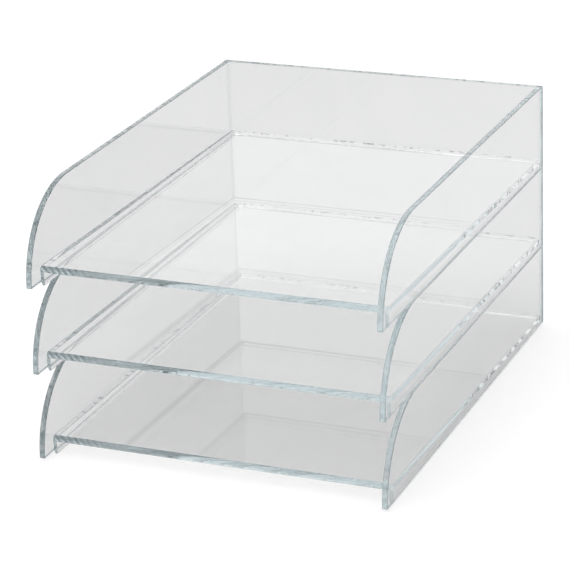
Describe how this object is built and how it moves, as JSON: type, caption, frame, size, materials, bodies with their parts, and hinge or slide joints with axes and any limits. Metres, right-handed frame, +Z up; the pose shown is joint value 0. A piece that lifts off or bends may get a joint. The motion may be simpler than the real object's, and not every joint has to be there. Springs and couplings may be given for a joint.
{
  "type": "letter tray stack",
  "caption": "Stack of clear letter trays with open fronts, round-fronted side walls and sloping floors; each tray stands on the walls of the one below and lifts off.",
  "frame": {"origin": "centre of the stack's plan, on the surface that the lowest runner strips stand on", "axes": "+X to the right seen from the open front, +Y to the back, +Z up"},
  "size_m": [0.247, 0.328, 0.1833],
  "materials": {
    "acrylic_sheet": "clear cast sheet, polished edges",
    "acrylic_strip": "clear sheet cut to narrow strips, sawn edges polished"
  },
  "bodies": {
    "bottom_tray": {"bottom_floor": "acrylic_sheet", "bottom_left_side": "acrylic_sheet", "bottom_right_side": "acrylic_sheet", "bottom_back": "acrylic_sheet", "bottom_left_runner": "acrylic_strip", "bottom_right_runner": "acrylic_strip"},
    "middle_tray": {"middle_floor": "acrylic_sheet", "middle_left_side": "acrylic_sheet", "middle_right_side": "acrylic_sheet", "middle_back": "acrylic_sheet", "middle_left_runner": "acrylic_strip", "middle_right_runner": "acrylic_strip"},
    "top_tray": {"top_floor": "acrylic_sheet", "top_left_side": "acrylic_sheet", "top_right_side": "acrylic_sheet", "top_back": "acrylic_sheet", "top_left_runner": "acrylic_strip", "top_right_runner": "acrylic_strip"}
  },
  "joints": [
    {"name": "middle_tray_lift", "type": "slide", "parent": "bottom_tray", "child": "middle_tray", "axis": [0, 0, 1], "range_m": [0, 0.1]},
    {"name": "top_tray_lift", "type": "slide", "parent": "middle_tray", "child": "top_tray", "axis": [0, 0, 1], "range_m": [0, 0.1]}
  ]
}
